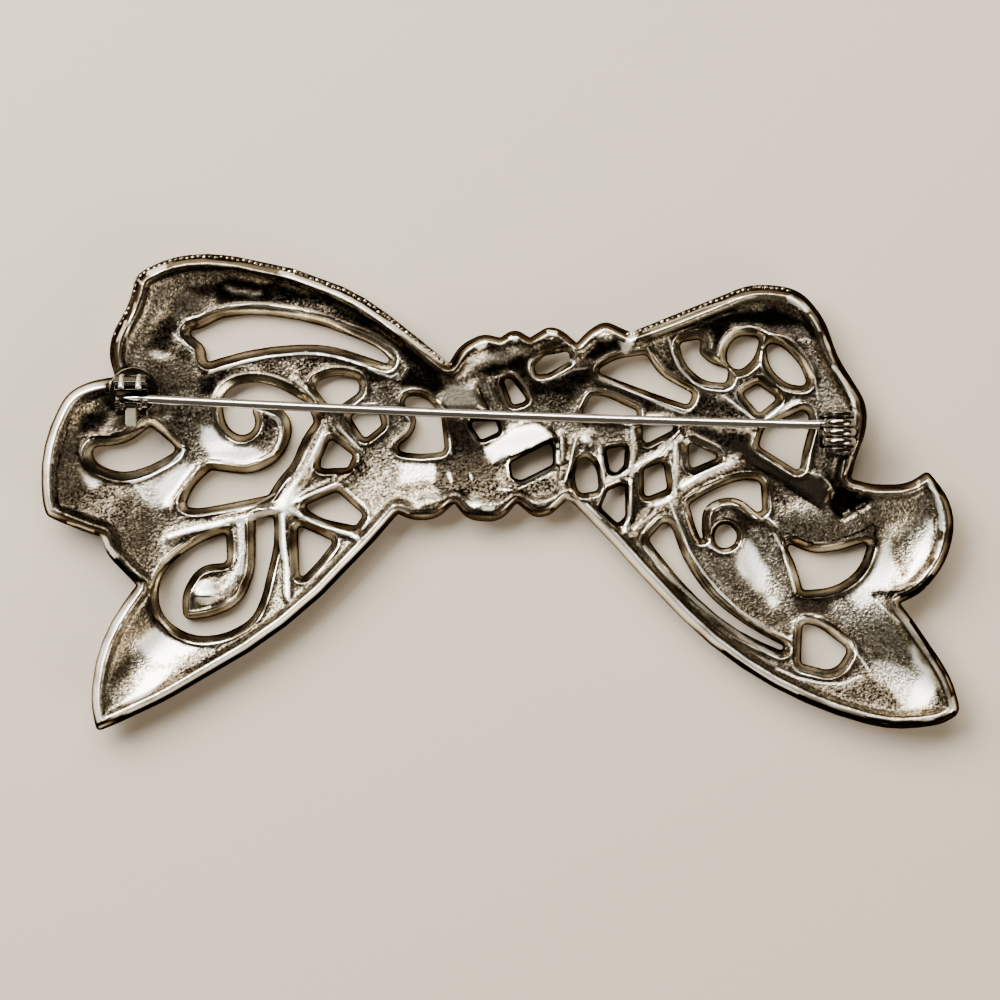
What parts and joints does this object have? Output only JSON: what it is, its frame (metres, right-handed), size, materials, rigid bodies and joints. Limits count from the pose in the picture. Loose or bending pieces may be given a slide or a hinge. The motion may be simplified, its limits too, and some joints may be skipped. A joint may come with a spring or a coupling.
{
  "type": "bow brooch",
  "caption": "Open-work cast metal bow brooch with raised rims, a hinged wire pin stem and a roll-over safety catch on the back, lying face down.",
  "frame": {"origin": "middle of the bow's width and height, on the surface it lies on, face down", "axes": "+X along the bow's width towards the hinge, +Y towards the top of the loops, +Z out of the back, towards the pin"},
  "size_m": [0.086, 0.0446, 0.0079],
  "materials": {
    "plated_casting": "cast white metal under bright plating, polished rims, grainy hollows",
    "plated_findings": "stamped and plated, bright",
    "steel_wire": "drawn and polished"
  },
  "bodies": {
    "bow": {"bow": "plated_casting", "hinge_bracket": "plated_findings", "hinge_rivet": "plated_findings", "catch_body": "plated_findings"},
    "pin": {"pin_stem": "steel_wire"},
    "roller": {"catch_roller": "plated_findings"}
  },
  "joints": [
    {"name": "pin_swing", "type": "hinge", "parent": "bow", "child": "pin", "pos_m": [0.0316, 0.00542, 0.00632], "axis": [0, 1, 0], "range_deg": [0, 110]},
    {"name": "roller_turn", "type": "hinge", "parent": "bow", "child": "roller", "pos_m": [-0.03445, 0.0088, 0.0052], "axis": [-1, 0, 0], "range_deg": [0, 80]}
  ]
}
